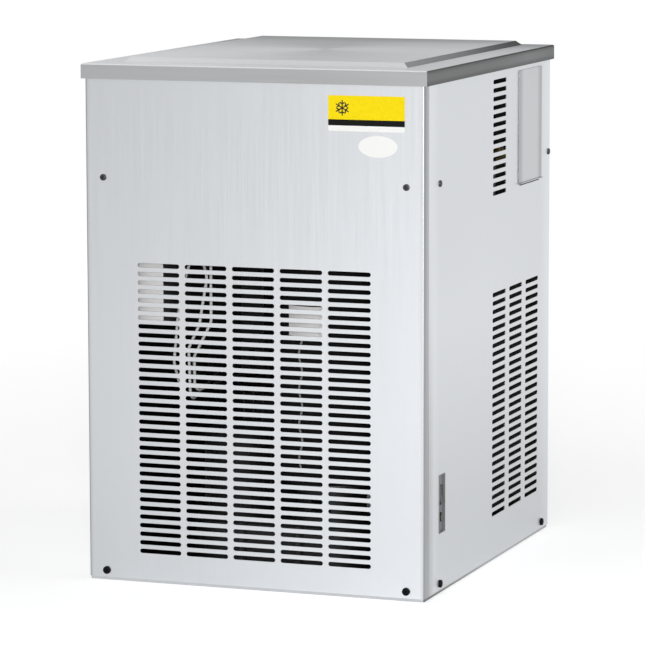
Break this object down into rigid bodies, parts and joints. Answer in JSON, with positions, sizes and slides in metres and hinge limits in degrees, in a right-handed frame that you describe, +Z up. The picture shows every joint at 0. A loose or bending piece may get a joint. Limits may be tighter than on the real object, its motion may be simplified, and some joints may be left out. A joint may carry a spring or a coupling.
{
  "type": "flake ice machine",
  "caption": "Brushed stainless flake ice machine with slotted panels and a loose lid; an auger freezer inside drops ice through the base into a bin.",
  "frame": {"origin": "on the floor at the middle of the cabinet's footprint, without lid and rear fittings", "axes": "+Z up, front towards -Y, +X to the right seen from the front"},
  "size_m": [0.48, 0.585, 0.696],
  "materials": {
    "brushed_panel": "brushed stainless sheet, brushing upright",
    "lid_steel": "brushed stainless sheet",
    "galvanised": "zinc-coated sheet",
    "screw_steel": "plain steel",
    "black_screw": "black oxide",
    "grey_plastic": "moulded, fine texture",
    "black_plastic": "moulded, fine texture",
    "box_white": "white powder coat",
    "board_green": "coated board",
    "wire_white": "white sleeving",
    "black_paint": "satin black paint",
    "rubber": "moulded rubber",
    "dark_paint": "dark coated sheet and fins",
    "fan_grey": "dark grey",
    "copper": "drawn copper",
    "black_foam": "closed-cell foam",
    "cast_alloy": "as cast",
    "freezer_steel": "machined stainless",
    "brass": "turned brass",
    "white_plastic": "moulded",
    "clear_hose": "milky hose"
  },
  "bodies": {
    "cabinet": {"base_pan": "galvanised", "front_left_post": "galvanised", "front_right_post": "galvanised", "rear_left_post": "galvanised", "rear_right_post": "galvanised", "top_rails": "galvanised", "front_panel": "brushed_panel", "left_panel": "brushed_panel", "right_panel": "brushed_panel", "rear_panel": "brushed_panel", "lid": "lid_steel", "hatch_cover": "brushed_panel", "panel_screws": "screw_steel", "base_screws": "black_screw", "switch_bezel": "grey_plastic", "control_box": "box_white", "control_box_cover": "box_white", "control_board": "board_green", "wires": "wire_white", "compressor": "black_paint", "compressor_feet": "rubber", "stud_nuts": "screw_steel", "terminal_cover": "black_plastic", "condenser_coil": "dark_paint", "fan_shroud": "dark_paint", "fan_bracket": "galvanised", "fan_motor": "fan_grey", "filter_drier": "copper", "discharge_line": "copper", "liquid_line": "copper", "suction_line": "black_foam", "gearbox_housing": "cast_alloy", "gearbox_cover": "cast_alloy", "drive_motor": "black_paint", "pedestal": "cast_alloy", "freezing_cylinder": "freezer_steel", "insulation_sleeve": "black_foam", "shaft_seal": "rubber", "breaker_head": "freezer_steel", "top_bearing": "brass", "ice_spout": "white_plastic", "ice_chute": "white_plastic", "ice_sensors": "grey_plastic", "reservoir": "white_plastic", "reservoir_cover": "white_plastic", "reservoir_shelf": "galvanised", "float_valve": "brass", "water_inlet": "brass", "inlet_hose": "clear_hose", "feed_hose": "clear_hose", "drain_hose": "clear_hose", "drain_fitting": "black_plastic", "cable_gland": "black_plastic"},
    "fan": {"fan_shaft": "screw_steel", "fan_blade": "fan_grey"},
    "auger": {"drive_shaft": "screw_steel", "auger": "freezer_steel"},
    "rocker": {"power_rocker": "black_plastic"},
    "button": {"reset_button": "black_plastic"},
    "float_arm": {"float": "white_plastic"}
  },
  "joints": [
    {"name": "fan_spin", "type": "hinge", "parent": "cabinet", "child": "fan", "pos_m": [0.1508, 0.1165, 0.214], "axis": [1, 0, 0], "continuous": true},
    {"name": "auger_spin", "type": "hinge", "parent": "cabinet", "child": "auger", "pos_m": [0.07, -0.17, 0.3], "axis": [0, 0, 1], "continuous": true},
    {"name": "rocker_tilt", "type": "hinge", "parent": "cabinet", "child": "rocker", "pos_m": [0.2306, -0.2065, 0.1295], "axis": [0, 1, 0], "range_deg": [0, 16]},
    {"name": "button_press", "type": "slide", "parent": "cabinet", "child": "button", "axis": [-1, 0, 0], "range_m": [0, 0.003], "stiffness_N_per_m": 300},
    {"name": "float_swing", "type": "hinge", "parent": "cabinet", "child": "float_arm", "pos_m": [0.1568, 0.2115, 0.46], "axis": [1, 0, 0], "range_deg": [-14, 0]}
  ]
}
